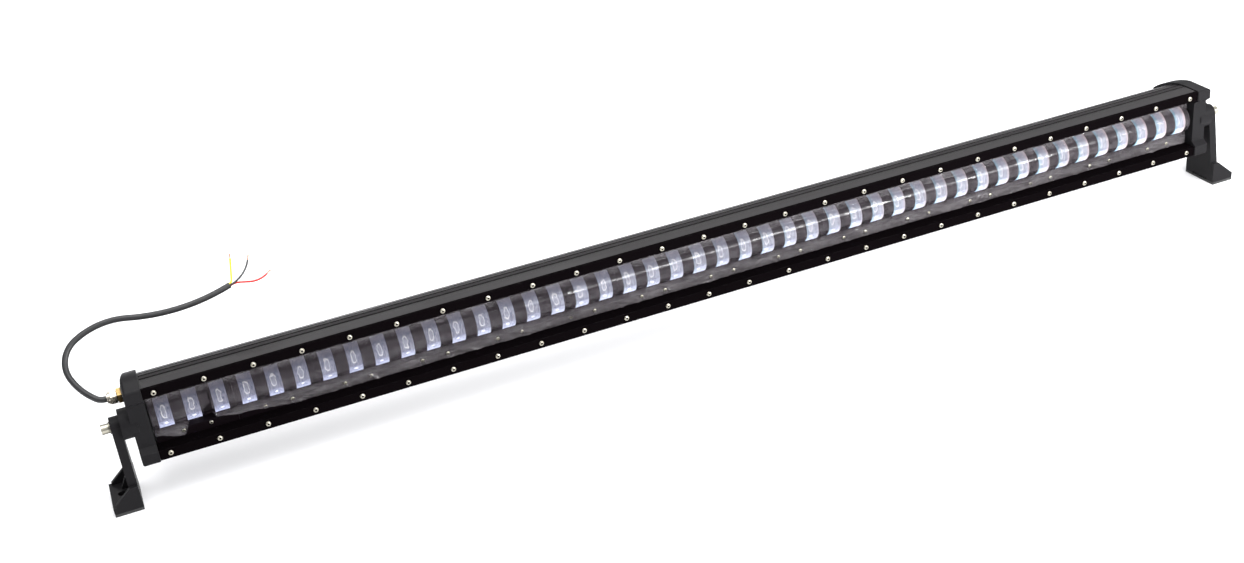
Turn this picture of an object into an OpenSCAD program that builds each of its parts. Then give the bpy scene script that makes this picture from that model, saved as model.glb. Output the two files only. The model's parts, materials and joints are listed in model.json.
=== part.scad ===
// Long single-row LED light bar for a truck or trailer, on two cast side brackets.
// Frame: +X to the right end, -Y out of the lit front, +Z up.
// The origin is on the mounting surface, half way between the holes in the two bracket feet.
// The tilt axis runs along X through both end bosses, straight above the foot holes.
// The bar's sections are drawn as (depth, height): depth is measured back from the front of the
// bezel strips, and height from the tilt axis.

/* [Bar] */
// Number of LEDs, in modules of three
led_count = 45; // [30:3:54]
// Distance between neighbouring LEDs
led_pitch = 27.1; // [26.8:0.1:27.6]
// Height of the bar's front
bar_h = 80.6; // [80.2:0.1:81.2]
// Distance from the front of the bezel strips back to the tilt axis
axis_depth = 19; // [18:0.5:22]
// Depth of the bar, front of the bezel strips to the tips of the rear fins
bar_depth = 76; // [74:1:78]

/* [Bezel and lens] */
// Distance between neighbouring bezel screws
bezel_pitch = 48; // [44:1:54]
// Height of a bezel screw above or below the middle of the bar
bezel_screw_z = 34.3; // [34:0.1:34.8]
// Outer radius of the lens barrel
barrel_r = 17; // [16.8:0.1:17.1]
// Width of one clear window
window_w = 14.3; // [12:0.1:14.6]

/* [End caps] */
// Width of an end cap along the bar
cap_w = 17; // [16:0.5:20]
// How far the pivot boss stands out from an end cap
boss_proud = 10; // [8:1:14]
// Radius of the pivot boss
boss_r = 15.5; // [14:0.5:16]

/* [Brackets] */
// Height of the tilt axis above the bracket's underside
pivot_h = 82; // [78:1:100]
// Width of the bracket's foot, front to back
foot_w = 48; // [44:1:60]
// Depth of the bracket's foot, away from the bar
foot_reach = 28; // [26:1:36]
// Radius of the hole in the foot
foot_hole_r = 4.25; // [3.25:0.25:5.25]
// Thickness of the rubber pad under the foot
pad_t = 3; // [2:0.5:5]

/* [Cable] */
// Outer radius of the cable
cable_r = 3.1; // [2.6:0.1:3.3]
// Lean of the cable's loop back from upright
cable_lean = 40; // [20:5:60]
// Radius of the bend at the top of the cable's loop
cable_loop_r = 30; // [28:1:32]

/* [Hidden] */
$fn = 64;

cut = 1;                        // overrun of a cut past the face it opens
gap = 0.1;                      // clearance between assembled pieces
loose = 0.2;                    // extra radius of a hole that a screw passes through
tiny = 0.01;                    // overrun where a cut must barely pass a face

axis_z = pivot_h + pad_t;       // height of the tilt axis above the mounting surface

// Lengths along the bar
leds_per_module = 3;
module_len = leds_per_module * led_pitch;
module_count = led_count / leds_per_module;
housing_half = led_count * led_pitch / 2 + 0.25;
cap_gasket_t = 1;
gasket_inset = 0.6;
gasket_rim = 1;
cap_in = housing_half + cap_gasket_t;
cap_out = cap_in + cap_w;
boss_end = cap_out + boss_proud;

// Housing section
half_h = bar_h / 2;
bezel_t = 3;
crown_depth = 16;               // where the flat top turns into the sloping crown
crown_r = 88;
crown_drop = crown_r - half_h + 0.05;
mouth_z = 31.6;                 // half height of the front opening
ledge_depth = 18.5;
ledge_z = 21.2;                 // half height of the opening between the ledges
web_depth = 29;
web_t = 4;
bay_end = 51;
fin_root = 54;
fin_pitch = 6.6;
fin_slot = 4.6;
groove_pitch = 9;
groove_w = 3;
groove_deep = 3;
groove_first = 22.5;
rear_boss_r = 4;
bay_front_z = 33;               // half heights of the rear bay, front to back
bay_mid_depth = 44;
bay_mid_z = 30;
bay_back_z = 26;
bezel_thread_end = 13;          // depth at which the bezel screws' holes end
plate_thread_deep = 4.5;
board_thread_deep = 3;
driver_thread_deep = 2.4;
cap_thread_deep = 13;
wire_hole_r = 1.6;

// Bezel strips
bezel_inner_z = 29.5;
bezel_leg_t = 2;
bezel_screw_len = 12;
plate_depth = 15.5;             // front face of the lens plate's flange
plate_t = 2;
plate_half_h = 31.3;

// Lens barrel
barrel_depth = 25.3;            // depth of the barrel's centre line
barrel_wall = 2;
barrel_root = 22.5;             // depth at which the sloping walls meet the barrel
window_end = barrel_root - 0.1;
wall_z = 20;                    // height at which the sloping walls leave the flange
wall_back_z = 21.1;             // the same on the walls' back
plate_screw_z = 23.3;
lens_screw_len = 7;

// LED boards
board_t = 1.6;
board_half_h = 17;
board_half_len = module_len / 2 - 0.6;
board_face = web_depth - board_t;
board_screw_z = 14.6;
board_screw_len = 4.3;
wire_hole_x = board_half_len - 3.2;
wire_hole_z = 5;
led_half = 2.5;
led_t = 0.9;
led_dome_r = 2;
link_r = 0.5;
link_span = 1.6;                // from the joint between two boards to each foot of a link
link_z = 15.2;

// Driver
driver_count = 3;
driver_len = 150;
driver_half_h = 20;
driver_depth = 45;
driver_spacing = 400;
driver_screw_x = driver_len / 2 - 6;
driver_screw_z = driver_half_h - 5;
driver_screw_len = bay_end + 2.2 - driver_depth;
standoff_r = 3;
inductor_r = 9;
inductor_h = 10;
inductor_bore_r = 3;
inductor_x = 24;
capacitor_r = 5;
capacitor_h = 11;
capacitor_x = 48;
capacitor_z = 8;
transistor_w = 7;
transistor_h = 8;
transistor_t = 2.4;
transistor_pitch = 11;
transistor_z = 10.5;

// Fastener radii: thread, hole over the thread, and head
m3 = 1.45;
m3_hole = 1.5;
m3_head = 2.7;
m3_head_h = 1.9;
m3_socket = 1.3;
m25 = 1.15;
m25_hole = 1.25;
m25_head = 2.1;
m25_head_h = 1.4;
m25_socket = 0.9;
m4 = 1.95;
m4_hole = 2;
m4_head = 3.6;
m4_head_h = 2.6;
m4_socket = 1.45;
m6 = 2.95;
m6_hole = 3;
m6_head = 5;
m6_head_h = 6;
m6_socket = 2.9;
m6_socket_deep = 3.5;

// End cap section
cap_half_h = 41.3;
cap_crown_depth = 20;
cap_crown_r = 93;
cap_drop = cap_crown_r - cap_half_h + 0.05;
cap_front = -2;
cap_back = 78;
cap_pocket_deep = 9;
cap_pocket = [[29.5, 29], [44, 29], [55, 26]];
cap_recess_z = 29;              // half height of the notch in the cap's front
cap_recess_floor_z = 24;
cap_recess_depth = 4.5;
cap_taper = 7;                  // how far the outer face falls back at the rear edge
cap_taper_start = 24;
cap_corner_r = 3.5;
cap_edge_r = 2;                 // rounding of the front edges
cap_screw_sink = 7;             // how deep the cap screws' heads lie below the outer face
cap_screw_len = 11;             // length of a cap screw inside the housing
boss_bore_deep = 18;
boss_root = 6;                  // how far the boss and the gland's pad reach into the cap
cap_screws = [[24.5, 27], [24.5, -27], [60, 13], [60, -13]];

// Cable gland, on the left end cap
gland_depth = 45;
gland_z = 17.3;
gland_pad_x = cap_out + 1;
gland_hex_r = 8.4;
gland_pad_r = gland_hex_r + 0.9;
gland_thread_r = 5.4;           // thread that the nut screws onto
gland_thread_len = 5;
gland_nut_end_r = 5.2;
gland_locknut_r = 7.6;
gland_locknut_t = 3.5;
gland_flange_t = 4.5;
gland_stem_r = 5.95;
gland_nut_len = 10;
gland_exit = gland_pad_x + gland_flange_t + gland_nut_len;

// Cable route after the gland: [length, 0] is straight, [radius, turn] is a bend. The cable
// leaves the gland, bends up, climbs, loops over towards the bar, dips, and lifts gently to its cut end.
cable_lead = [2, 0];
cable_turn_up = [12, -40];
cable_climb = [2 * cable_loop_r, -30];
cable_loop = [cable_loop_r, -80];
cable_dip = [2.5 * cable_loop_r, -42];
cable_lift = [200, 30];
cable_route = [cable_lead, cable_turn_up, cable_climb, cable_loop, cable_dip, cable_lift];
cable_bore_r = 2.5;
cable_bore_deep = 6;
wire_r = 1;
wire_ring_r = 1.25;
tip_r = 0.6;
tip_len = 5;
wire_lead = 8;                  // straight start of a wire, most of it inside the jacket
yellow_route = [[wire_lead - 2, 0], [5, 60], [22, 0]];
black_route = [[wire_lead, 0], [35, 50]];
red_route = [[wire_lead, 0], [15, -30], [10, 0], [25, 45]];

// Brackets
arm_in = boss_end + gap;
arm_t = 9;
arm_top_r = 10;
arm_rim = 4;
arm_web = 4;
arm_base_half = foot_w / 2 - 3; // half width of the arm where it meets the foot
arm_pocket_half = 7.2;
arm_pocket_top = -12;
rib_back = 3;                   // how far the ribs stop short of the foot's end
rib_lip = 2;
rib_h = 17;
mid_rib_y = 7;
mid_rib_back = 12;
foot_t = 7;
foot_relief = 1.5;
foot_hole_x = arm_in + foot_reach * 0.6;
arm_out = arm_in + arm_t;
pivot_clearance = 0.08;
pivot_thread = 16;              // length of the pivot bolt inside the boss
washer_gap = 0.05;
flat_washer_t = 1.2;
flat_washer_r = 6.2;
spring_washer_t = 1.6;
spring_split = 1.2;
bolt_head_in = arm_out + 2 * washer_gap + flat_washer_t + spring_washer_t;

// ---- Helpers ----

// Moves children drawn round the tilt axis up to it
module on_axis() translate([0, 0, axis_z]) children();

// Moves children drawn in (x, depth, height) into the part's frame
module at_depth(depth = 0) on_axis() translate([0, depth - axis_depth, 0]) children();

// Extrudes a (depth, height) section along X
module profile(from_x, to_x)
    at_depth() translate([from_x, 0, 0]) rotate([90, 0, 90]) linear_extrude(to_x - from_x) children();

// Box between two corners given as (x, depth, height)
module block(low, high) at_depth() translate(low) cube(high - low);

// Round bar along the depth direction, from one depth to another
module rod_y(x, z, r, from_d, to_d)
    at_depth(from_d) translate([x, 0, z]) rotate([-90, 0, 0]) cylinder(r = r, h = to_d - from_d);

// Round bar along X
module rod_x(from_x, to_x, depth, z, r)
    at_depth(depth) translate([from_x, 0, z]) rotate([0, 90, 0]) cylinder(r = r, h = to_x - from_x);

// Six-sided bar along X
module hex_x(from_x, to_x, depth, z, r)
    at_depth(depth) translate([from_x, 0, z]) rotate([0, 90, 0]) cylinder(r = r, h = to_x - from_x, $fn = 6);

module left() mirror([1, 0, 0]) children();

// Turns the upper half of a section into the lower half when side is negative
module flip_half(side) mirror([0, side < 0 ? 1 : 0]) children();

module upside_down() translate([0, 0, 2 * axis_z]) mirror([0, 0, 1]) children();

function module_x(i) = (i - (module_count - 1) / 2) * module_len;
function led_x(i) = (i - (led_count - 1) / 2) * led_pitch;
function crown_z(depth) = sqrt(crown_r * crown_r - pow(depth - crown_depth, 2)) - crown_drop;

bezel_count = 2 * floor((housing_half - 6 + bezel_pitch / 2) / bezel_pitch);
function bezel_x(i) = (i - (bezel_count - 1) / 2) * bezel_pitch;

// ---- Housing ----

module crowned_section(front, back, half, crown_at, radius, drop) {
    translate([front, -half]) square([crown_at - front, 2 * half]);
    intersection() {
        translate([crown_at, -drop]) circle(r = radius);
        translate([crown_at, drop]) circle(r = radius);
        translate([front, -half]) square([back - front, 2 * half]);
    }
}

module housing_section() {
    difference() {
        crowned_section(bezel_t, bar_depth, half_h, crown_depth, crown_r, crown_drop);
        translate([0, -mouth_z]) square([ledge_depth, 2 * mouth_z]);
        translate([ledge_depth - cut, -ledge_z]) square([web_depth - ledge_depth + cut, 2 * ledge_z]);
        for (side = [-1, 1]) flip_half(side)
            polygon([[web_depth + web_t, -cut], [web_depth + web_t, bay_front_z], [bay_mid_depth, bay_mid_z],
                [bay_end, bay_back_z], [bay_end, -cut]]);
        for (i = [-5:4]) translate([fin_root, (i + 0.5) * fin_pitch - fin_slot / 2])
            square([bar_depth - fin_root + cut, fin_slot]);
        for (i = [0:3], side = [-1, 1]) {
            depth = groove_first + i * groove_pitch;
            floor_z = crown_z(depth) - groove_deep;
            translate([depth - groove_w / 2, side > 0 ? floor_z : -half_h - cut])
                square([groove_w, half_h + cut - floor_z]);
        }
    }
    for (side = [-1, 1]) translate([cap_screws[2][0], side * cap_screws[2][1]]) circle(r = rear_boss_r);
}

module bezel_holes(r, from_d, to_d)
    for (i = [0:bezel_count - 1], side = [-1, 1])
        rod_y(bezel_x(i), side * bezel_screw_z, r, from_d, to_d);

module plate_holes(r, from_d, to_d)
    for (i = [0:module_count - 1], end = [-1, 1], side = [-1, 1])
        rod_y(module_x(i) + end * led_pitch / 2, side * plate_screw_z, r, from_d, to_d);

module board_holes(r, from_d, to_d)
    for (i = [0:module_count - 1], end = [-1, 1], side = [-1, 1])
        rod_y(module_x(i) + end * led_pitch / 2, side * board_screw_z, r, from_d, to_d);

module driver_holes(r, from_d, to_d)
    for (i = [0:driver_count - 1], end = [-1, 1], side = [-1, 1])
        rod_y(driver_x(i) + end * driver_screw_x, side * driver_screw_z, r, from_d, to_d);

function driver_x(i) = (i - (driver_count - 1) / 2) * driver_spacing;

module housing() color("#26272a")
    difference() {
        profile(-housing_half, housing_half) housing_section();
        bezel_holes(m3_hole, bezel_t - cut, bezel_thread_end);
        plate_holes(m25_hole, ledge_depth - cut, ledge_depth + plate_thread_deep);
        board_holes(m25_hole, web_depth - cut, web_depth + board_thread_deep);
        driver_holes(m25_hole, bay_end - cut, bay_end + driver_thread_deep);
        for (side = [-1, 1])
            rod_y(feed_x, side * wire_hole_z, wire_hole_r, web_depth - cut, web_depth + web_t + cut);
        for (end = [-housing_half, housing_half], s = cap_screws)
            rod_x(end - cap_thread_deep, end + cap_thread_deep, s[0], s[1], m4_hole);
    }

// ---- Bezel strips ----

module bezel_strip() color("#141416")
    difference() {
        profile(-cap_in + gap, cap_in - gap) {
            translate([0, bezel_inner_z]) square([bezel_t, half_h - bezel_inner_z + gap]);
            translate([0, bezel_inner_z]) square([plate_depth, bezel_leg_t]);
        }
        for (i = [0:bezel_count - 1]) rod_y(bezel_x(i), bezel_screw_z, m3_hole + gap, -cut, bezel_t + cut);
    }

module top_bezel() bezel_strip();
module bottom_bezel() upside_down() bezel_strip();

// Low domed screw with a hex socket; its head rests on depth 0 and its shank runs back
module button_screw(shank_r, length, head_r, head_h, socket_r) rotate([-90, 0, 0]) {
    cylinder(r = shank_r, h = length);
    difference() {
        rotate_extrude() polygon([[0, 0], [head_r, 0], [head_r, -head_h * 0.45],
            [head_r * 0.86, -head_h * 0.8], [head_r * 0.62, -head_h], [0, -head_h]]);
        translate([0, 0, -head_h - cut]) cylinder(r = socket_r, h = head_h * 0.7 + cut, $fn = 6);
    }
}

module bezel_screws() color("#d8d8d2")
    for (i = [0:bezel_count - 1], side = [-1, 1])
        at_depth() translate([bezel_x(i), 0, side * bezel_screw_z])
            button_screw(m3, bezel_screw_len, m3_head, m3_head_h, m3_socket);

// ---- Lens ----

// Flange, sloping wall down to the root of the barrel, and the barrel itself
module lens_plate_section() {
    for (side = [-1, 1]) flip_half(side) {
        translate([plate_depth, wall_z]) square([plate_t, plate_half_h - wall_z]);
        polygon([[plate_depth, wall_z], [plate_depth + plate_t, wall_back_z],
            [barrel_root + plate_t, barrel_r + 0.9], [barrel_root + plate_t, barrel_r - 1],
            [barrel_root, barrel_r - 0.5], [barrel_root, barrel_r]]);
    }
    barrel_ring(barrel_root + plate_t);
}

// Part of the barrel's wall in front of a given depth
module barrel_ring(to_depth) difference() {
    intersection() {
        translate([barrel_depth, 0]) circle(r = barrel_r);
        translate([0, -barrel_r - cut]) square([to_depth, 2 * (barrel_r + cut)]);
    }
    translate([barrel_depth, 0]) circle(r = barrel_r - barrel_wall);
}

module lens_plates() color("#3a363c")
    difference() {
        for (i = [0:module_count - 1])
            profile(module_x(i) - module_len / 2 + gap, module_x(i) + module_len / 2 - gap)
                lens_plate_section();
        for (i = [0:led_count - 1])
            block([led_x(i) - window_w / 2, -cut, -barrel_r + 0.1],
                [led_x(i) + window_w / 2, window_end, barrel_r - 0.1]);
        plate_holes(m25_hole + gap, plate_depth - cut, plate_depth + plate_t + cut);
    }

module lens_windows() color("#dfe2f2", 0.75)
    for (i = [0:led_count - 1])
        profile(led_x(i) - window_w / 2 + gap / 2, led_x(i) + window_w / 2 - gap / 2)
            barrel_ring(window_end - gap);

module lens_screws() color("#c9cacc")
    for (i = [0:module_count - 1], end = [-1, 1], side = [-1, 1])
        at_depth(plate_depth) translate([module_x(i) + end * led_pitch / 2, 0, side * plate_screw_z])
            button_screw(m25, lens_screw_len, m25_head, m25_head_h, m25_socket);

module lens_seal() color("#4a4a4c")
    difference() {
        block([-housing_half + gap, plate_depth + plate_t, ledge_z + 0.3],
            [housing_half - gap, ledge_depth, plate_half_h]);
        plate_holes(m25_hole + 0.2, plate_depth, ledge_depth + cut);
    }

module top_lens_seal() lens_seal();
module bottom_lens_seal() upside_down() lens_seal();

// ---- Light engine ----

reflector_gap = 0.8;            // between the reflector and the inside of the barrel
reflector_front = barrel_depth - barrel_r + barrel_wall + 1;
reflector_back = board_face - 1.5;
cup_near = 3.4;
cup_far_x = window_w / 2 - 0.4;
cup_far_z = 12.2;

// Pyramid-shaped cup: a wedge seen from the side crossed with a wedge seen from above
module reflector_cup() intersection() {
    profile(-cup_far_x - cut, cup_far_x + cut)
        polygon([[reflector_front - cut, -cup_far_z], [reflector_back + tiny, -cup_near],
            [reflector_back + tiny, cup_near], [reflector_front - cut, cup_far_z]]);
    at_depth() translate([0, 0, -cup_far_z - cut]) linear_extrude(2 * (cup_far_z + cut))
        polygon([[-cup_far_x, reflector_front - cut], [-cup_near, reflector_back + tiny],
            [cup_near, reflector_back + tiny], [cup_far_x, reflector_front - cut]]);
}

module reflector_strip() difference() {
    profile(-board_half_len, board_half_len) intersection() {
        translate([barrel_depth, 0]) circle(r = barrel_r - barrel_wall - reflector_gap);
        translate([reflector_front - cut, -barrel_r])
            square([reflector_back - reflector_front + cut, 2 * barrel_r]);
    }
    for (i = [-1:1]) translate([i * led_pitch, 0, 0]) reflector_cup();
}

module reflectors() color("#e4e6ea")
    for (i = [0:module_count - 1]) translate([module_x(i), 0, 0]) reflector_strip();

module led_packages() color("#f2e27a")
    for (i = [0:led_count - 1]) at_depth(board_face) translate([led_x(i), 0, 0]) {
        translate([-led_half, -led_t, -led_half]) cube([2 * led_half, led_t, 2 * led_half]);
        rotate([90, 0, 0]) translate([0, 0, led_t]) rotate_extrude(angle = 360) intersection() {
            circle(r = led_dome_r);
            square(led_dome_r);
        }
    }

module led_boards() color("#e9ebe6")
    difference() {
        for (i = [0:module_count - 1])
            block([module_x(i) - board_half_len, board_face, -board_half_h],
                [module_x(i) + board_half_len, web_depth, board_half_h]);
        board_holes(m25_hole + gap, board_face - cut, web_depth + cut);
        for (i = [0:module_count - 1], end = [-1, 1], side = [-1, 1])
            rod_y(module_x(i) + end * wire_hole_x, side * wire_hole_z, wire_hole_r,
                board_face - cut, web_depth + cut);
    }

module led_board_screws() color("#c9cacc")
    for (i = [0:module_count - 1], end = [-1, 1], side = [-1, 1])
        at_depth(board_face) translate([module_x(i) + end * led_pitch / 2, 0, side * board_screw_z])
            button_screw(m25, board_screw_len, m25_head, m25_head_h, m25_socket);

// Arched wires that carry current from one LED board to the next
module board_links() color("#b5482f")
    for (i = [0:module_count - 2], side = [-1, 1])
        at_depth(board_face) translate([module_x(i) + module_len / 2, 0, side * link_z])
            rotate([0, 0, 180]) rotate_extrude(angle = 180) translate([link_span, 0]) circle(r = link_r);

// ---- Driver ----

module driver_board() color("#1f6a3a")
    difference() {
        for (i = [0:driver_count - 1])
            block([driver_x(i) - driver_len / 2, driver_depth, -driver_half_h],
                [driver_x(i) + driver_len / 2, driver_depth + board_t, driver_half_h]);
        driver_holes(m25_hole + gap, driver_depth - cut, driver_depth + board_t + cut);
        for (side = [-1, 1])
            rod_y(driver_wire_x, side * wire_hole_z, feed_r + 0.4,
                driver_depth - cut, driver_depth + board_t + cut);
    }

module driver_inductors() color("#3b3b40")
    for (i = [0:driver_count - 1], side = [-1, 1])
        at_depth(driver_depth - inductor_h) translate([driver_x(i) + side * inductor_x, 0, 0])
            rotate([-90, 0, 0]) difference() {
                cylinder(r = inductor_r, h = inductor_h);
                translate([0, 0, -cut]) cylinder(r = inductor_bore_r, h = inductor_h / 2 + cut);
            }

module driver_capacitors() color("#2d3350")
    for (i = [0:driver_count - 1], end = [-1, 1], side = [-1, 1])
        rod_y(driver_x(i) + end * capacitor_x, side * capacitor_z, capacitor_r,
            driver_depth - capacitor_h, driver_depth);

module driver_transistors() color("#202124")
    for (i = [0:driver_count - 1], k = [-1:1])
        at_depth(driver_depth - transistor_t)
            translate([driver_x(i) + k * transistor_pitch - transistor_w / 2, 0, transistor_z])
            cube([transistor_w, transistor_t, transistor_h]);

module driver_standoffs() color("#b9a36a")
    difference() {
        driver_holes(standoff_r, driver_depth + board_t, bay_end);
        driver_holes(m25_hole + gap, driver_depth, bay_end + cut);
    }

module driver_screws() color("#c9cacc")
    for (i = [0:driver_count - 1], end = [-1, 1], side = [-1, 1])
        at_depth(driver_depth) translate([driver_x(i) + end * driver_screw_x, 0, side * driver_screw_z])
            button_screw(m25, driver_screw_len, m25_head, m25_head_h, m25_socket);

// Pair of wires from the left driver board, through the web, to the first LED board
feed_x = module_x(0) - wire_hole_x;
feed_r = 0.9;
feed_bend = 5;
driver_wire_x = driver_x(0) - driver_len / 2 + 4;
feed_turn_depth = 38;
module feed_wires() color("#a83a2c")
    for (side = [-1, 1]) {
        rod_y(feed_x, side * wire_hole_z, feed_r, board_face - 0.6, feed_turn_depth - feed_bend);
        at_depth(feed_turn_depth - feed_bend) translate([feed_x + feed_bend, 0, side * wire_hole_z])
            rotate([0, 0, 90]) rotate_extrude(angle = 90) translate([feed_bend, 0]) circle(r = feed_r);
        rod_x(feed_x + feed_bend, driver_wire_x - feed_bend, feed_turn_depth, side * wire_hole_z, feed_r);
        at_depth(feed_turn_depth + feed_bend)
            translate([driver_wire_x - feed_bend, 0, side * wire_hole_z])
            rotate([0, 0, -90]) rotate_extrude(angle = 90) translate([feed_bend, 0]) circle(r = feed_r);
        rod_y(driver_wire_x, side * wire_hole_z, feed_r,
            feed_turn_depth + feed_bend, driver_depth + board_t + 0.6);
    }

// ---- End caps ----

module cap_section() difference() {
    union() {
        crowned_section(cap_front + cap_edge_r, cap_back, cap_half_h, cap_crown_depth, cap_crown_r, cap_drop);
        translate([cap_front, cap_edge_r - cap_half_h])
            square([cap_edge_r + cut, 2 * (cap_half_h - cap_edge_r)]);
        for (side = [-1, 1]) translate([cap_front + cap_edge_r, side * (cap_half_h - cap_edge_r)])
            circle(r = cap_edge_r);
    }
    polygon([[cap_front - cut, -cap_recess_z - 1], [cap_front, -cap_recess_z],
        [cap_recess_depth, -cap_recess_floor_z], [cap_recess_depth, cap_recess_floor_z],
        [cap_front, cap_recess_z], [cap_front - cut, cap_recess_z + 1]]);
}

// Wedge taken off the outer face towards the rear
module cap_taper_wedge() at_depth() translate([0, 0, -half_h * 1.5]) linear_extrude(half_h * 3)
    polygon([[cap_out, cap_taper_start], [cap_out - cap_taper, cap_back],
        [cap_out - cap_taper, cap_back + cut], [cap_out + cut, cap_back + cut], [cap_out + cut, cap_taper_start]]);

// Cap outline seen from the front, with its two outer corners rounded
module cap_front_outline() {
    translate([cap_in, -cap_half_h]) square([cap_w - cap_corner_r, 2 * cap_half_h]);
    translate([cap_in, cap_corner_r - cap_half_h]) square([cap_w, 2 * (cap_half_h - cap_corner_r)]);
    for (side = [-1, 1]) translate([cap_out - cap_corner_r, side * (cap_half_h - cap_corner_r)])
        circle(r = cap_corner_r);
}

// End cap at the +X end
module end_cap(has_gland) color("#303135")
    difference() {
        union() {
            difference() {
                intersection() {
                    profile(cap_in, cap_out) cap_section();
                    at_depth(cap_back + cut) rotate([90, 0, 0])
                        linear_extrude(cap_back - cap_front + 2 * cut) cap_front_outline();
                }
                cap_taper_wedge();
            }
            rod_x(cap_out - boss_root, boss_end, axis_depth, 0, boss_r);
            if (has_gland) rod_x(cap_out - boss_root - 2, gland_pad_x, gland_depth, gland_z, gland_pad_r);
        }
        profile(cap_in - cut, cap_in + cap_pocket_deep) for (side = [-1, 1]) flip_half(side)
            polygon(concat([[cap_pocket[0][0], -cut]], cap_pocket, [[cap_pocket[2][0], -cut]]));
        rod_x(boss_end - boss_bore_deep, boss_end + cut, axis_depth, 0, m6_hole);
        for (s = cap_screws) {
            rod_x(cap_in - cut, cap_out + cut, s[0], s[1], m4_hole + loose);
            rod_x(cap_out - cap_screw_sink, cap_out + cut, s[0], s[1], m4_head + 0.3);
        }
        if (has_gland)
            rod_x(cap_in + cap_pocket_deep - cut, gland_pad_x + cut,
                gland_depth, gland_z, gland_stem_r + 0.05);
    }

module left_end_cap() left() end_cap(true);
module right_end_cap() end_cap(false);

module cap_gasket() color("#1b1b1c")
    difference() {
        profile(housing_half, cap_in) difference() {
            crowned_section(bezel_t, bar_depth, half_h - gasket_inset, crown_depth,
                crown_r - gasket_inset, crown_drop);
            translate([0, -mouth_z]) square([ledge_depth, 2 * mouth_z]);
            for (side = [-1, 1]) flip_half(side) translate([web_depth + web_t, -cut])
                square([bay_end - gasket_rim - web_depth - web_t, bay_back_z - gasket_rim + cut]);
        }
        for (s = cap_screws) rod_x(housing_half - cut, cap_in + cut, s[0], s[1], m4_hole + loose);
    }

module left_cap_gasket() left() cap_gasket();
module right_cap_gasket() cap_gasket();

module cap_screw_set() color("#c9cacc")
    for (s = cap_screws) difference() {
        union() {
            rod_x(housing_half - cap_screw_len, cap_out - cap_screw_sink + 0.5, s[0], s[1], m4);
            rod_x(cap_out - cap_screw_sink, cap_out - cap_screw_sink + m4_head_h, s[0], s[1], m4_head);
        }
        hex_x(cap_out - cap_screw_sink + 1, cap_out, s[0], s[1], m4_socket);
    }

module left_cap_screws() left() cap_screw_set();
module right_cap_screws() cap_screw_set();

// ---- Cable gland and cable ----

module gland_body() color("#b98d3c") left()
    difference() {
        union() {
            hex_x(gland_pad_x, gland_pad_x + gland_flange_t, gland_depth, gland_z, gland_hex_r);
            rod_x(cap_in + 3, gland_pad_x + 0.5, gland_depth, gland_z, gland_stem_r);
            rod_x(gland_pad_x + gland_flange_t - 0.5, gland_pad_x + gland_flange_t + gland_thread_len,
                gland_depth, gland_z, gland_thread_r);
        }
        rod_x(cap_in, gland_exit, gland_depth, gland_z, cable_r + 0.1);
    }

module gland_nut() color("#d6d3c8") left()
    difference() {
        union() {
            hex_x(gland_pad_x + gland_flange_t + 0.6, gland_exit - 3.4,
                gland_depth, gland_z, gland_hex_r - 0.6);
            rod_x(gland_exit - 3.9, gland_exit - 1.6, gland_depth, gland_z, gland_nut_end_r + 1.1);
            rod_x(gland_exit - 2.1, gland_exit, gland_depth, gland_z, gland_nut_end_r);
        }
        rod_x(gland_pad_x + gland_flange_t, gland_exit - 2.5, gland_depth, gland_z, gland_thread_r + 0.05);
        rod_x(gland_exit - 4, gland_exit + cut, gland_depth, gland_z, cable_r + 0.4);
    }

module gland_seal() color("#1d1d1e") left()
    difference() {
        rod_x(gland_pad_x + gland_flange_t + gland_thread_len + gap, gland_exit - 2.6,
            gland_depth, gland_z, gland_thread_r - 0.05);
        rod_x(gland_pad_x, gland_exit, gland_depth, gland_z, cable_r + 0.02);
    }

module gland_locknut() color("#b98d3c") left()
    difference() {
        hex_x(cap_in + cap_pocket_deep - gap - gland_locknut_t, cap_in + cap_pocket_deep - gap,
            gland_depth, gland_z, gland_locknut_r);
        rod_x(cap_in, cap_out, gland_depth, gland_z, gland_stem_r + 0.03);
    }

// Draws a round run that starts at the origin along +X and follows the steps in the XY plane
module run(steps, r, i = 0) if (i < len(steps)) {
    size = steps[i][0];
    turn = steps[i][1];
    if (turn == 0) rotate([0, 90, 0]) cylinder(r = r, h = size);
    if (turn > 0) translate([0, size, 0]) rotate([0, 0, -90])
        rotate_extrude(angle = turn) translate([size, 0]) circle(r = r);
    if (turn < 0) translate([0, -size, 0]) rotate([0, 0, 90 + turn])
        rotate_extrude(angle = -turn) translate([size, 0]) circle(r = r);
    step_end(steps[i]) {
        if (i < len(steps) - 1) run_collar(r);
        run(steps, r, i + 1);
    }
}

// Short collar, a hair thicker than the run, that joins one step to the next
module run_collar(r) translate([-0.4, 0, 0]) rotate([0, 90, 0]) cylinder(r = r + 0.03, h = 0.8);

module step_end(step)
    if (step[1] == 0) translate([step[0], 0, 0]) children();
    else translate([0, sign(step[1]) * step[0], 0]) rotate([0, 0, step[1]])
        translate([0, -sign(step[1]) * step[0], 0]) children();

module at_end(steps, i = 0)
    if (i < len(steps)) step_end(steps[i]) at_end(steps, i + 1) children();
    else children();

// Start of the cable's free run, heading out of the gland in the leaning plane
module from_gland() at_depth(gland_depth) translate([-gland_exit, 0, gland_z])
    rotate([90 - cable_lean, 0, 0]) rotate([0, 0, 180]) children();

module cable_jacket() color("#1c1c1e") {
    left() rod_x(cap_in + 2, gland_exit, gland_depth, gland_z, cable_r);
    from_gland() run_collar(cable_r);
    difference() {
        from_gland() run(cable_route, cable_r);
        from_gland() at_end(cable_route) translate([-cable_bore_deep, 0, 0]) rotate([0, 90, 0])
            cylinder(r = cable_bore_r, h = cable_bore_deep + cut);
    }
}

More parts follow.
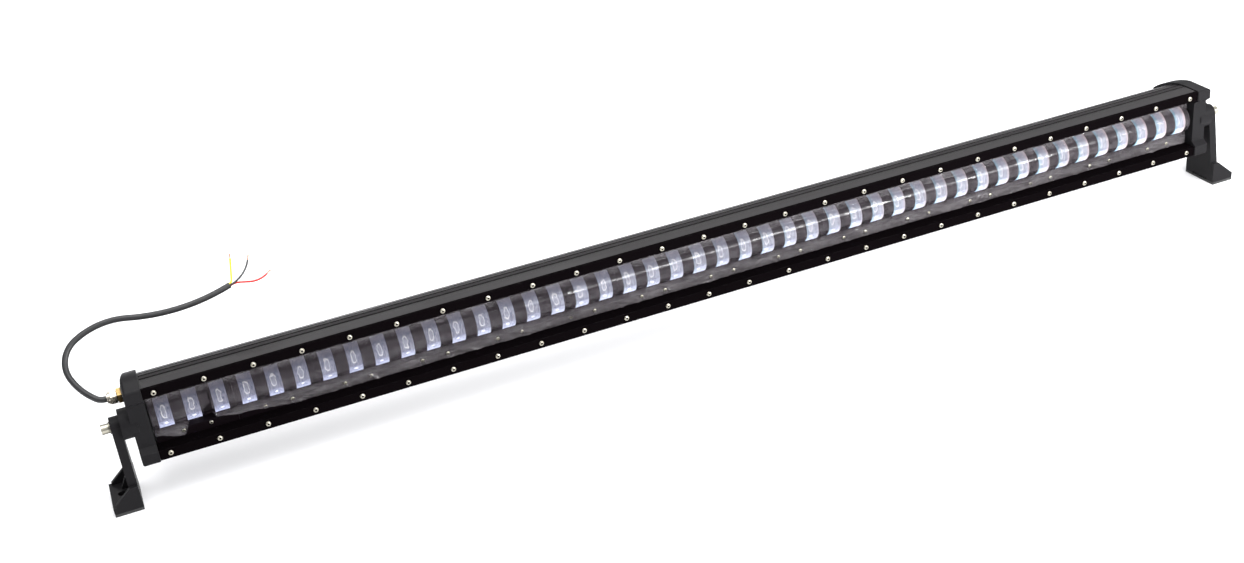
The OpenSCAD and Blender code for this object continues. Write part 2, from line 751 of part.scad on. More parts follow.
// A wire that starts inside the end of the cable, at an angle round its core
module wire_start(angle) from_gland() at_end(cable_route)
    translate([-cable_bore_deep + gap, wire_ring_r * cos(angle), wire_ring_r * sin(angle)]) children();

module wire_yellow() color("#e6df2a") wire_start(0) run(yellow_route, wire_r);
module wire_black() color("#222224") wire_start(120) run(black_route, wire_r);
module wire_red() color("#cf2a22") wire_start(240) run(red_route, wire_r);

module wire_tips() color("#b87a4a") {
    wire_start(0) at_end(yellow_route) rotate([0, 90, 0]) cylinder(r = tip_r, h = tip_len);
    wire_start(120) at_end(black_route) rotate([0, 90, 0]) cylinder(r = tip_r, h = tip_len);
    wire_start(240) at_end(red_route) rotate([0, 90, 0]) cylinder(r = tip_r, h = tip_len);
}

// ---- Brackets, drawn for the +X end ----

foot_top = -pivot_h + foot_t;

// Arm outline seen along X: a rounded top whose sides run down to the foot
module arm_outline(top_r, base_half, base_z) {
    reach = sqrt(base_half * base_half + base_z * base_z);
    side = acos((top_r - 0.03) / reach) - atan2(-base_z, base_half);
    circle(r = top_r);
    polygon([[top_r * cos(side) - 0.05, top_r * sin(side)], [base_half, base_z],
        [-base_half, base_z], [-top_r * cos(side) + 0.05, top_r * sin(side)]]);
}

module along_x(from_x, to_x) translate([from_x, 0, 0]) rotate([90, 0, 90])
    linear_extrude(to_x - from_x) children();

module bracket_arm() difference() {
    along_x(arm_in, arm_out) arm_outline(arm_top_r, arm_base_half, foot_top);
    along_x(arm_in + arm_web, arm_out + cut) polygon([[-arm_pocket_half, arm_pocket_top],
        [arm_pocket_half, arm_pocket_top], [arm_base_half - arm_rim, foot_top],
        [-arm_base_half + arm_rim, foot_top]]);
}

module bracket_foot() {
    half = foot_w / 2;
    difference() {
        translate([arm_in, -half, -pivot_h]) cube([foot_reach, foot_w, foot_t]);
        translate([arm_in - cut, -half / 2, -pivot_h - cut])
            cube([foot_reach + 2 * cut, half, foot_relief + cut]);
    }
    for (y = [-half, half - arm_rim]) bracket_rib(y, rib_back);
    bracket_rib(mid_rib_y, mid_rib_back);
}

// Sloping rib from the arm to the foot, starting at the given y
module bracket_rib(y, back) translate([0, y + arm_rim, 0]) rotate([90, 0, 0]) linear_extrude(arm_rim)
    polygon([[arm_in, foot_top - cut], [arm_in + foot_reach - back, foot_top - cut],
        [arm_in + foot_reach - back, foot_top + rib_lip], [arm_out - cut, foot_top + rib_h],
        [arm_in, foot_top + rib_h]]);

module bracket() color("#2c2d31") on_axis()
    difference() {
        union() {
            bracket_arm();
            bracket_foot();
        }
        rotate([0, 90, 0]) cylinder(r = m6 + pivot_clearance, h = arm_out + cut);
        translate([foot_hole_x, 0, -pivot_h - cut]) cylinder(r = foot_hole_r, h = foot_t + 2 * cut);
    }

module left_bracket() left() bracket();
module right_bracket() bracket();

module bracket_pad() color("#18181a") on_axis()
    difference() {
        translate([arm_in, -foot_w / 2, -pivot_h - pad_t]) cube([foot_reach, foot_w, pad_t]);
        translate([foot_hole_x, 0, -pivot_h - pad_t - cut]) cylinder(r = foot_hole_r, h = pad_t + 2 * cut);
    }

module left_bracket_pad() left() bracket_pad();
module right_bracket_pad() bracket_pad();

module pivot_bolt() color("#d2d2cc") on_axis() rotate([0, 90, 0])
    difference() {
        union() {
            translate([0, 0, boss_end - pivot_thread])
                cylinder(r = m6, h = bolt_head_in - boss_end + pivot_thread + 0.5);
            translate([0, 0, bolt_head_in]) cylinder(r = m6_head, h = m6_head_h);
        }
        translate([0, 0, bolt_head_in + m6_head_h - m6_socket_deep])
            cylinder(r = m6_socket, h = m6_head_h, $fn = 6);
    }

module left_pivot_bolt() left() pivot_bolt();
module right_pivot_bolt() pivot_bolt();

module washer(from_x, thick, outer) color("#c6c6c0")
    on_axis() rotate([0, 90, 0]) translate([0, 0, from_x]) difference() {
        cylinder(r = outer, h = thick);
        translate([0, 0, -cut]) cylinder(r = m6 + loose, h = thick + 2 * cut);
    }

module flat_washer() washer(arm_out + washer_gap, flat_washer_t, flat_washer_r);

// Spring washer with its split
module spring_washer() difference() {
    washer(arm_out + 1.5 * washer_gap + flat_washer_t, spring_washer_t, m6_head);
    on_axis() rotate([-20, 0, 0]) translate([arm_out, 0, -spring_split / 2])
        cube([2 * (flat_washer_t + spring_washer_t), m6_head + cut, spring_split]);
}

module left_flat_washer() left() flat_washer();
module right_flat_washer() flat_washer();
module left_spring_washer() left() spring_washer();
module right_spring_washer() spring_washer();

housing();
top_bezel();
bottom_bezel();
bezel_screws();
lens_plates();
lens_windows();
lens_screws();
top_lens_seal();
bottom_lens_seal();
reflectors();
led_packages();
led_boards();
led_board_screws();
board_links();
driver_board();
driver_inductors();
driver_capacitors();
driver_transistors();
driver_standoffs();
driver_screws();
feed_wires();
left_end_cap();
right_end_cap();
left_cap_gasket();
right_cap_gasket();
left_cap_screws();
right_cap_screws();
gland_body();
gland_nut();
gland_seal();
gland_locknut();
cable_jacket();
wire_yellow();
wire_black();
wire_red();
wire_tips();
left_bracket();
right_bracket();
left_bracket_pad();
right_bracket_pad();
left_pivot_bolt();
right_pivot_bolt();
left_spring_washer();
right_spring_washer();
left_flat_washer();
right_flat_washer();
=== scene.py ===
"""Looks, studio and camera for the LED light bar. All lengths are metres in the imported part's frame.

The part supplies every solid. This script gives each one a procedural finish, adds the clear
protective film on the lens and the twisted copper strands at the wire ends, and sets the scene.
"""

import json
import math
import random

import bmesh
import bpy
from mathutils import Matrix, Vector, noise


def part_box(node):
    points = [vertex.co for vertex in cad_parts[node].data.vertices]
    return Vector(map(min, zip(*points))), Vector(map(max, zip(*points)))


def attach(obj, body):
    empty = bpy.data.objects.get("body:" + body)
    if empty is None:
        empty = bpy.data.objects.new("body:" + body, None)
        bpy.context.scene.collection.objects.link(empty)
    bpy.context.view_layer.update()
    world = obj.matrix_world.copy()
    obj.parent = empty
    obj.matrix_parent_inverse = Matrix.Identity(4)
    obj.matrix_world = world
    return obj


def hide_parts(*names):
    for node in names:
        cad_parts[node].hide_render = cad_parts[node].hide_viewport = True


MM = 0.001


# ---- Procedural finishes ----


class Finish:
    """A node material: one principled shader whose inputs are fed by procedural patterns."""

    def __init__(self, name, colour, roughness, **inputs):
        self.material = bpy.data.materials.new(name)
        self.material.use_nodes = True
        self.tree = self.material.node_tree
        self.shader = self.tree.nodes["Principled BSDF"]
        self.output = self.tree.nodes["Material Output"]
        self.normal = None
        self.set("Base Color", (*colour, 1.0))
        self.set("Roughness", roughness)
        for key, value in inputs.items():
            self.set(key.replace("_", " ").title().replace("Ior", "IOR"), value)

    def node(self, kind, inputs, **settings):
        made = self.tree.nodes.new("ShaderNode" + kind)
        for key, value in settings.items():
            setattr(made, key, value)
        for key, value in inputs.items():
            self.feed(made.inputs[key], value)
        return made

    def feed(self, socket, value):
        if isinstance(value, bpy.types.NodeSocket):
            self.tree.links.new(value, socket)
        else:
            socket.default_value = value

    def set(self, name, value):
        self.feed(self.shader.inputs[name], value)

    def position(self, stretch=(1, 1, 1)):
        """Object coordinates, multiplied along each axis."""
        coords = self.node("TexCoord", {}).outputs["Object"]
        return self.node("Mapping", {"Vector": coords, "Scale": stretch}).outputs["Vector"]

    def cloud(self, size, stretch=(1, 1, 1), detail=2.0):
        """Noise from 0 to 1 with features of about the given size."""
        inputs = {"Vector": self.position(stretch), "Scale": 1 / size, "Detail": detail}
        return self.node("TexNoise", inputs).outputs["Fac"]

    def cells(self, size, stretch=(1, 1, 1)):
        """Distance to the nearest of many scattered points, for grain and pits."""
        inputs = {"Vector": self.position(stretch), "Scale": 1 / size}
        return self.node("TexVoronoi", inputs).outputs["Distance"]

    def remap(self, pattern, low, high, start=0.0, end=1.0):
        """Turns start..end of a pattern into low..high, clamped."""
        inputs = {"Value": pattern, "From Min": start, "From Max": end, "To Min": low, "To Max": high}
        return self.node("MapRange", inputs).outputs["Result"]

    def math(self, operation, a, b=0.0):
        made = self.node("Math", {}, operation=operation)
        self.feed(made.inputs[0], a)
        self.feed(made.inputs[1], b)
        return made.outputs["Value"]

    def mix(self, share, colour_a, colour_b):
        made = self.node("Mix", {}, data_type="RGBA")
        colours = [c if isinstance(c, bpy.types.NodeSocket) else (*c, 1.0) for c in (colour_a, colour_b)]
        for index, value in zip((0, 6, 7), (share, *colours)):
            self.feed(made.inputs[index], value)
        return made.outputs[2]

    def round_edges(self, radius):
        """Shades every sharp edge as if it had this radius."""
        self.normal = self.node("Bevel", {"Radius": radius}, samples=4).outputs["Normal"]
        self.set("Normal", self.normal)

    def edges(self, radius, start=0.985, end=0.8):
        """1 along sharp edges and 0 elsewhere."""
        soft = self.node("Bevel", {"Radius": radius}, samples=4).outputs["Normal"]
        flat = self.node("NewGeometry", {}).outputs["Normal"]
        dot = self.node("VectorMath", {}, operation="DOT_PRODUCT")
        self.feed(dot.inputs[0], soft)
        self.feed(dot.inputs[1], flat)
        return self.remap(dot.outputs["Value"], 0.0, 1.0, start, end)

    def open_to_light(self, reach):
        """1 on open surfaces, falling to 0 deep inside holes and grooves narrower than reach."""
        open_share = self.node("AmbientOcclusion", {"Distance": reach}, samples=8).outputs["AO"]
        return self.remap(open_share, 0.0, 1.0, 0.5, 0.92)

    def emboss(self, pattern, height, strength=1.0):
        """Adds a pattern to the surface as relief of the given height."""
        inputs = {"Height": pattern, "Distance": height, "Strength": strength}
        if self.normal:
            inputs["Normal"] = self.normal
        self.normal = self.node("Bump", inputs).outputs["Normal"]
        self.set("Normal", self.normal)

    def through(self, shader, share):
        """Shows another shader instead of this one by the given share."""
        made = self.node("MixShader", {"Fac": share})
        self.feed(made.inputs[1], self.shader.outputs["BSDF"])
        self.feed(made.inputs[2], shader)
        self.feed(self.output.inputs["Surface"], made.outputs["Shader"])


def powder_coat(name, colour, roughness, peel_size, peel_height, edge_colour, gloss):
    """Powder coat: orange peel, soft smudges from handling and paler rubbed edges."""
    f = Finish(name, colour, roughness, specular_ior_level=gloss)
    smudge = f.cloud(60 * MM, (0.4, 1, 1), 4.0)
    patches = f.remap(f.cloud(9 * MM, detail=5.0), 0.0, 1.0, 0.45, 0.65)
    rub = f.math("MULTIPLY", f.edges(0.5 * MM), patches)
    tone = f.mix(smudge, tuple(0.75 * c for c in colour), tuple(1.25 * c for c in colour))
    f.set("Base Color", f.mix(f.math("MULTIPLY", rub, 0.6), tone, edge_colour))
    f.set("Roughness", f.remap(smudge, roughness - 0.07, roughness + 0.09, 0.3, 0.7))
    f.round_edges(0.4 * MM)
    f.emboss(f.cloud(peel_size, detail=3.0), peel_height, 0.5)
    return f


def housing_coat():
    """Satin black on the extrusion, with faint drawing lines along the bar."""
    colour = (0.017, 0.0155, 0.0165)
    f = powder_coat("anodised_black", colour, 0.33, 0.7 * MM, 0.02 * MM, (0.1, 0.095, 0.095), 0.09)
    f.emboss(f.cloud(0.5 * MM, (0.008, 1, 1)), 0.012 * MM, 0.6)
    return f


def bezel_coat():
    """Dull black strips that hardly shine, even seen at a slant."""
    colour = (0.0025, 0.0018, 0.0022)
    f = powder_coat("bezel_black", colour, 0.45, 0.9 * MM, 0.02 * MM, (0.03, 0.028, 0.028), 0.01)
    f.set("IOR", 1.15)
    return f


def cast_coat():
    """Matt black over the grain of a casting, with a few pits."""
    colour = (0.011, 0.0105, 0.0115)
    f = powder_coat("cast_black", colour, 0.42, 0.6 * MM, 0.06 * MM, (0.08, 0.08, 0.082), 0.09)
    f.set("IOR", 1.4)
    pits = f.remap(f.cells(2.2 * MM), 0.0, 1.0, 0.0, 0.22)
    f.emboss(pits, 0.05 * MM, 0.35)
    return f


def metal(name, colour, roughness, grain=(1, 0.03, 1), tarnish=(0.5, 0.45, 0.38)):
    """Machined metal: fine turning lines, tarnish in blotches, painted shade deep inside holes."""
    f = Finish(name, colour, roughness, metallic=1.0)
    blotch = f.cloud(2.5 * MM, detail=5.0)
    dirty = f.remap(blotch, 0.0, 0.55, 0.5, 0.75)
    unshaded = f.mix(dirty, colour, tuple(a * b for a, b in zip(colour, tarnish)))
    # Painted shade: the colour falls to near black deep inside holes and grooves.
    f.set("Base Color", f.mix(f.open_to_light(2.6 * MM), (0.01, 0.008, 0.007), unshaded))
    f.set("Roughness", f.remap(blotch, roughness - 0.06, roughness + 0.14, 0.3, 0.7))
    f.round_edges(0.12 * MM)
    f.emboss(f.cloud(0.12 * MM, grain), 0.006 * MM, 0.5)
    return f


def tinted_plate():
    """Dark polycarbonate with little gloss, moulding waviness and fine dust."""
    tint = (0.005, 0.0035, 0.0045)
    f = Finish("tinted_plastic", tint, 0.07, specular_ior_level=0.12, ior=1.25)
    dust = f.remap(f.cells(0.9 * MM), 1.0, 0.0, 0.02, 0.12)
    f.set("Base Color", f.mix(f.math("MULTIPLY", dust, 0.1), tint, (0.2, 0.19, 0.19)))
    f.set("Roughness", f.remap(f.cloud(25 * MM, detail=4.0), 0.05, 0.14, 0.35, 0.7))
    f.round_edges(0.25 * MM)
    f.emboss(f.cloud(14 * MM, (0.6, 1, 1)), 0.12 * MM, 0.35)
    return f


FLANGE_START = 15 * MM    # distance above or below the lens's middle at which its film goes slack
OPTIC_DEPTH = 5 * MM      # how far behind a window's face its LED is seen
LED_VIEW = (2.2 * MM, 5.4 * MM, 2.8 * MM)    # half width, half height and raise of the LED's outline
SPOT_VIEW = (2.0 * MM, 1.3 * MM, -9.6 * MM)  # the same for the bright spot below it
LED_LINE = (0.05, 0.2)    # inner and outer softness of the outline, as shares of its size
OPTIC_EDGE = -6.2 * MM    # height of the edge across the lower part of the optic
OPTIC_LINE = (0.2 * MM, 0.9 * MM)            # inner and outer softness of that edge
OPTIC_RIPPLE = 1.1 * MM   # how far moulding waviness shifts what is seen
TOP_SHADE = 9.5 * MM      # height above which a window darkens
TOP_SHADE_END = 14.5 * MM                    # height at which it is darkest
FOOT_GLOW = 3.0           # painted glow: emission at the lowest part of the optic
FOOT_GLOW_START = 2 * MM  # distance below the middle at which the glow starts
FOOT_GLOW_FULL = 13 * MM  # and where it is full


def clear_window(windows):
    """Moulded optic, a little see-through: a painted view of the LED behind it, flutes and fringes, with
    painted light and a painted glow.
    """
    f = Finish("clear_plastic", (0.86, 0.88, 1.0), 0.1, specular_ior_level=0.35)
    flute = f.cloud(1.1 * MM, (1, 1, 0.04), 2.0)
    cloud = f.cloud(5 * MM, detail=4.0)
    # Painted light: the window is drawn paler the more side-on it is seen, and its flutes as lit and
    # shaded streaks.
    turned = f.remap(side_view(f), 0.0, 1.0, 0.06, 0.65)
    shaded = f.mix(turned, (0.14, 0.155, 0.23), (0.34, 0.37, 0.45))
    lit = f.mix(turned, (0.36, 0.385, 0.5), (0.64, 0.67, 0.73))
    lit_shaded_streaks = f.mix(f.remap(flute, 0.0, 1.0, 0.36, 0.62), shaded, lit)
    seen = window_fringe(f, optic_view(f, lit_shaded_streaks, windows), windows)
    f.set("Base Color", seen)
    # Painted glow: the window emits its own painted colour, more when seen side-on and most at its foot.
    f.set("Emission Color", seen)
    f.set("Emission Strength", f.math("ADD", f.math("MULTIPLY", turned, 0.06), foot_glow(f, windows)))
    f.set("Roughness", f.remap(cloud, 0.16, 0.34))
    f.round_edges(0.2 * MM)
    f.emboss(flute, 0.05 * MM, 0.3)
    clear = f.node("BsdfTransparent", {"Color": (0.95, 0.96, 1.0, 1.0)}).outputs["BSDF"]
    f.through(clear, f.remap(flute, 0.08, 0.2, 0.35, 0.65))
    return f


def foot_glow(f, windows):
    """Painted glow: emission that brightens the lower, outward-turned part of the optic, which faces
    down into shade.
    """
    z = f.node("SeparateXYZ", {"Vector": f.position()}).outputs["Z"]
    below = f.math("SUBTRACT", windows["middle"], z)
    return f.remap(below, 0.0, FOOT_GLOW, FOOT_GLOW_START, FOOT_GLOW_FULL)


def view_ray(f):
    """The direction towards the viewer, as its X, Y and Z outputs."""
    incoming = f.node("NewGeometry", {}).outputs["Incoming"]
    return f.node("SeparateXYZ", {"Vector": incoming}).outputs


def side_view(f):
    """0 seen square on, towards 1 seen along the bar."""
    return f.math("ABSOLUTE", view_ray(f)["X"])


def window_cell(f, windows, x):
    """Distance in metres from the middle of the nearest window to x."""
    start = windows["first"] - windows["pitch"] / 2
    turns = f.math("DIVIDE", f.math("SUBTRACT", x, start), windows["pitch"])
    return f.math("MULTIPLY", f.math("SUBTRACT", f.math("FRACT", turns), 0.5), windows["pitch"])


def rounded_distance(f, aside, above, half_w, half_h, raise_by):
    """0 at the middle of a rounded upright shape, 1 on its outline and more outside it."""
    off = f.math("ABSOLUTE", f.math("SUBTRACT", above, raise_by))
    across = f.math("POWER", f.math("DIVIDE", aside, half_w), 3.0)
    along = f.math("POWER", f.math("DIVIDE", off, half_h), 3.0)
    return f.math("POWER", f.math("ADD", across, along), 1 / 3)


def optic_view(f, face, windows):
    """Draws the LED's outline, a bright spot and an optic edge where they are seen behind the face."""
    place = f.node("SeparateXYZ", {"Vector": f.position()}).outputs
    ray = view_ray(f)
    shift = f.math("DIVIDE", OPTIC_DEPTH, ray["Y"])
    ripple = f.remap(f.cloud(4 * MM, detail=3.0), -OPTIC_RIPPLE, OPTIC_RIPPLE, 0.25, 0.75)
    x = f.math("ADD", place["X"], f.math("MULTIPLY", ray["X"], shift))
    z = f.math("ADD", place["Z"], f.math("MULTIPLY", ray["Z"], shift))
    aside = f.math("ABSOLUTE", f.math("ADD", window_cell(f, windows, x), ripple))
    above = f.math("SUBTRACT", f.math("SUBTRACT", z, windows["middle"]), ripple)
    led = rounded_distance(f, aside, above, *LED_VIEW)
    spot = rounded_distance(f, aside, above, *SPOT_VIEW)
    outline = f.remap(f.math("ABSOLUTE", f.math("SUBTRACT", led, 1.0)), 0.9, 0.0, *LED_LINE)
    edge = f.remap(f.math("ABSOLUTE", f.math("SUBTRACT", above, OPTIC_EDGE)), 0.5, 0.0, *OPTIC_LINE)
    height = f.math("SUBTRACT", place["Z"], windows["middle"])
    shade = f.remap(height, 0.0, 0.7, TOP_SHADE, TOP_SHADE_END)
    seen = f.mix(f.remap(led, 0.2, 0.0, 0.7, 1.0), face, (0.8, 0.8, 0.85))
    seen = f.mix(outline, seen, (1.0, 1.0, 1.0))
    seen = f.mix(edge, seen, (0.12, 0.12, 0.24))
    seen = f.mix(f.remap(spot, 0.9, 0.0, 0.5, 1.2), seen, (0.95, 0.95, 1.0))
    return f.mix(shade, seen, (0.2, 0.2, 0.27))


def window_fringe(f, pale, windows):
    """Tints a window's near edge cyan and its far edge warm, the more so the steeper it is seen."""
    x = f.node("SeparateXYZ", {"Vector": f.position()}).outputs["X"]
    across = f.math("DIVIDE", window_cell(f, windows, x), windows["width"] / 2)
    slant = view_ray(f)["X"]
    lean = f.math("MULTIPLY", across, slant)
    steep = f.remap(f.math("ABSOLUTE", slant), 0.15, 1.0, 0.1, 0.55)
    near = f.math("MULTIPLY", f.remap(lean, 0.0, 0.6, 0.16, 0.5), steep)
    far = f.math("MULTIPLY", f.remap(lean, 0.0, 0.35, -0.26, -0.55), steep)
    cool = f.mix(near, pale, (0.06, 0.34, 0.46))
    return f.mix(far, cool, (0.95, 0.6, 0.5))


def film_sheet(middle):
    """Thin clear protective film: mostly see-through, paler and creased where it lies on the flanges."""
    f = Finish("film_clear", (0.22, 0.2, 0.22), 0.2, specular_ior_level=0.55)
    haze = f.cloud(18 * MM, (0.35, 1, 1), 5.0)
    streak = f.cloud(3.5 * MM, (0.18, 1, 1), 3.0)
    z = f.node("SeparateXYZ", {"Vector": f.position()}).outputs["Z"]
    from_middle = f.math("ABSOLUTE", f.math("SUBTRACT", z, middle))
    slack = f.remap(from_middle, 0.0, 1.0, FLANGE_START, FLANGE_START + 6 * MM)
    folds = f.remap(f.cloud(7 * MM, (0.5, 1, 1), 4.0), 0.16, 0.42, 0.4, 0.62)
    flange_tone = f.mix(folds, (0.16, 0.145, 0.155), (0.5, 0.47, 0.49))
    f.set("Base Color", f.mix(slack, (0.115, 0.1, 0.112), flange_tone))
    f.set("Roughness", f.remap(haze, 0.08, 0.24, 0.3, 0.7))
    f.set("Specular IOR Level", f.remap(f.cloud(11 * MM, detail=1.0), 0.2, 0.8, 0.44, 0.56))
    f.emboss(streak, 0.12 * MM, 0.5)
    fold = f.math("ABSOLUTE", f.math("SUBTRACT", f.cloud(9 * MM, (0.35, 1, 1.3), 1.0), 0.5))
    f.emboss(f.math("MULTIPLY", f.remap(fold, 1.0, 0.0, 0.0, 0.02), slack), 0.7 * MM, 0.9)
    clear = f.node("BsdfTransparent", {"Color": (0.98, 0.98, 0.985, 1.0)}).outputs["BSDF"]
    open_share = f.remap(haze, 0.86, 0.78, 0.3, 0.7)
    f.through(clear, open_share)
    return f


def mirror_coat():
    """Vacuum-metallised plastic with the faint ripple of its moulding."""
    f = Finish("metallised", (0.9, 0.9, 0.94), 0.14, metallic=1.0)
    ripple = f.cloud(3 * MM, detail=3.0)
    f.set("Roughness", f.remap(ripple, 0.08, 0.24, 0.3, 0.7))
    f.round_edges(0.15 * MM)
    f.emboss(ripple, 0.08 * MM, 0.5)
    return f


def plastic(name, dark, light, roughness, size, height, **inputs):
    """Moulded plastic or rubber: mottled colour, mottled sheen and a fine surface grain."""
    f = Finish(name, dark, roughness, **inputs)
    mottle = f.cloud(size * 12, detail=4.0)
    f.set("Base Color", f.mix(f.remap(mottle, 0.0, 1.0, 0.3, 0.7), dark, light))
    f.set("Roughness", f.remap(mottle, roughness - 0.08, roughness + 0.1, 0.3, 0.7))
    f.round_edges(0.15 * MM)
    f.emboss(f.cloud(size, detail=3.0), height, 0.5)
    return f


def cable_rubber():
    """Extruded jacket: a fine grain and chalky handling marks."""
    f = plastic("cable_rubber", (0.012, 0.012, 0.013), (0.03, 0.03, 0.032), 0.42, 0.4 * MM, 0.03 * MM)
    chalk = f.remap(f.cloud(14 * MM, detail=6.0), 0.0, 0.35, 0.55, 0.8)
    f.set("Base Color", f.mix(chalk, (0.014, 0.014, 0.015), (0.07, 0.07, 0.07)))
    return f


def copper():
    """Bare strand copper, dulled in blotches."""
    return metal("copper", (0.72, 0.36, 0.2), 0.28, (1, 1, 1), (0.6, 0.55, 0.5))


def finishes(windows):
    """One finish for each material slot of the record."""
    made = [
        housing_coat(),
        bezel_coat(),
        cast_coat(),
        metal("stainless", (0.44, 0.42, 0.35), 0.3),
        metal("brass", (0.34, 0.235, 0.1), 0.34, tarnish=(0.5, 0.42, 0.34)),
        metal("nickel", (0.6, 0.55, 0.46), 0.24),
        copper(),
        tinted_plate(),
        clear_window(windows),
        mirror_coat(),
        cable_rubber(),
        plastic("silicone_grey", (0.12, 0.12, 0.12), (0.17, 0.17, 0.17), 0.6, 0.5 * MM, 0.04 * MM),
        plastic("led_phosphor", (0.9, 0.78, 0.4), (0.96, 0.9, 0.62), 0.3, 0.3 * MM, 0.02 * MM),
        plastic("board_white", (0.72, 0.73, 0.7), (0.84, 0.85, 0.82), 0.35, 0.4 * MM, 0.02 * MM),
        plastic("board_green", (0.01, 0.09, 0.03), (0.02, 0.16, 0.06), 0.3, 0.4 * MM, 0.02 * MM),
        plastic("link_wire", (0.36, 0.05, 0.03), (0.5, 0.1, 0.06), 0.4, 0.3 * MM, 0.02 * MM),
        plastic("ferrite", (0.03, 0.03, 0.032), (0.07, 0.07, 0.07), 0.55, 0.5 * MM, 0.05 * MM),
        plastic("capacitor_sleeve", (0.02, 0.03, 0.1), (0.05, 0.07, 0.16), 0.3, 0.5 * MM, 0.02 * MM),
        plastic("chip_black", (0.012, 0.012, 0.012), (0.03, 0.03, 0.03), 0.5, 0.2 * MM, 0.02 * MM),
        plastic("rubber_black", (0.012, 0.012, 0.012), (0.03, 0.03, 0.03), 0.62, 0.6 * MM, 0.06 * MM),
        plastic("wire_yellow", (0.78, 0.66, 0.01), (0.9, 0.82, 0.03), 0.32, 0.3 * MM, 0.02 * MM),
        plastic("wire_black", (0.012, 0.012, 0.013), (0.025, 0.025, 0.028), 0.32, 0.3 * MM, 0.02 * MM),
        plastic("wire_red", (0.5, 0.012, 0.008), (0.68, 0.03, 0.018), 0.32, 0.3 * MM, 0.02 * MM),
    ]
    return {f.material.name: f.material for f in made}


def window_row(frame):
    """Where the row of windows starts, the distance between them, their width and middle height."""
    low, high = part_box("lens_windows")
    parts = loose_parts(frame["nodes"]["lens_windows"])
    width = max(p.x for p in parts[0]) - low.x
    return {
        "first": low.x + width / 2,
        "pitch": (high.x - low.x - width) / (len(parts) - 1),
        "width": width,
        "middle": (low.z + high.z) / 2,
    }


def dress(piece, material):
    piece.data.materials.clear()
    piece.data.materials.append(material)


def dress_cad_nodes(frame, materials):
    for part in frame["record"]["subparts"]:
        dress(frame["nodes"][part["node"]], materials[part["material_slot"]])


# ---- Protective film on the lens ----

FILM_OFF = 0.3 * MM       # distance from the plates
FILM_STEP = 1.5 * MM      # spacing of mesh columns along the bar
FILM_ROWS = 56
FILM_T = 0.12 * MM
SCREW_HEAD = 1.4 * MM     # height of a lens screw's head above the flange
FILM_TOP = 28.5 * MM      # half height of the film
FILM_FOLD = 20.2 * MM     # height at which it leaves the flat flange to bridge across to the barrel
FILM_TOUCH = 55           # degrees from straight ahead at which it meets the barrel
FILM_ARC_STEPS = 40       # steps round the barrel
FILM_CURL_ROWS = 3        # rows along a torn edge that curl up
FILM_CURL = 1.4 * MM
FILM_CREASE = 1.5 * MM    # height of the creases on the flanges
FILM_TEAR = (  # the torn lower edge: windows from the left end, height in millimetres
    (0, -21), (1, -28), (1.3, -14), (1.75, -14), (1.9, 0), (2.1, 3), (2.2, -18), (3, -22), (5.5, -28.5),
)


def lens_shape():
    """The lens's outline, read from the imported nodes."""
    low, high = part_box("lens_plates")
    screw_low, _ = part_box("lens_screws")
    window_low, window_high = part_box("lens_windows")
    reach = (window_high.z - window_low.z) / 2
    sink = window_high.y - low.y
    radius = (reach * reach + sink * sink) / (2 * sink)
    return {
        "low": low.x,
        "high": high.x,
        "middle": (low.z + high.z) / 2,
        "axis_y": low.y + radius,
        "radius": radius,
        "flange_y": screw_low.y + SCREW_HEAD,
    }


def film_section(lens):
    """Evenly spaced points (y, z) down the lens: flange, bridge, barrel, bridge, flange."""
    touch = math.radians(FILM_TOUCH)
    arc = [touch * (1 - 2 * i / FILM_ARC_STEPS) for i in range(FILM_ARC_STEPS + 1)]
    barrel = [(lens["axis_y"] - lens["radius"] * math.cos(a), lens["radius"] * math.sin(a)) for a in arc]
    flange = [(lens["flange_y"], FILM_TOP), (lens["flange_y"], FILM_FOLD)]
    outline = flange + barrel + [(y, -z) for y, z in reversed(flange)]
    lengths = [math.dist(a, b) for a, b in zip(outline, outline[1:])]
    section = []
    for row in range(FILM_ROWS):
        left = sum(lengths) * row / (FILM_ROWS - 1)
        index = 0
        while index < len(lengths) - 1 and left > lengths[index]:
            left -= lengths[index]
            index += 1
        t = min(1.0, left / lengths[index])
        section.append(tuple(a + (b - a) * t for a, b in zip(outline[index], outline[index + 1])))
    return section


def film_lower_edge(windows_along):
    """Height of the film's lower edge: torn near the left end, then down to the bezel."""
    for (a, from_z), (b, to_z) in zip(FILM_TEAR, FILM_TEAR[1:]):
        if windows_along <= b:
            t = (windows_along - a) / (b - a)
            ragged = 0.5 * noise.noise(Vector((windows_along * 14, 3.1, 0)))
            return (from_z + (to_z - from_z) * t * t * (3 - 2 * t) + ragged) * MM
    return -FILM_TOP


def share_down_to(section, height):
    """How far down the section a height is reached, from 0 to 1."""
    for row, (above, below) in enumerate(zip(section, section[1:])):
        if below[1] <= height:
            return (row + (above[1] - height) / (above[1] - below[1])) / (len(section) - 1)
    return 1.0


def along_section(section, share):
    """The point a share of the way down the section."""
    at = share * (len(section) - 1)
    i = min(int(at), len(section) - 2)
    t = at - i
    return tuple(a + (b - a) * t for a, b in zip(section[i], section[i + 1]))


def film_lift(x, z, edge):
    """How far the film stands off: slack everywhere, creases on the flanges, curl along a torn edge."""
    broad = noise.noise(Vector((x * 60, 0.3, z * 120)))
    fine = noise.noise(Vector((x * 190, 5.3, z * 350)))
    slack = max(0.0, broad + 0.4 * fine)
    flat = min(1.0, max(0.0, (abs(z) - FLANGE_START) / (5 * MM)))
    long_fold = noise.noise(Vector((x * 20, 7.7, z * 95 + 0.4 * math.sin(x * 30))))
    short_fold = noise.noise(Vector((x * 55, 2.2, z * 210)))
    ridge = max(0.0, 1 - abs(long_fold) / 0.08) + 0.8 * max(0.0, 1 - abs(short_fold) / 0.1)
    return FILM_OFF + (0.25 + 0.35 * flat) * MM * slack + FILM_CREASE * flat * ridge + FILM_CURL * edge


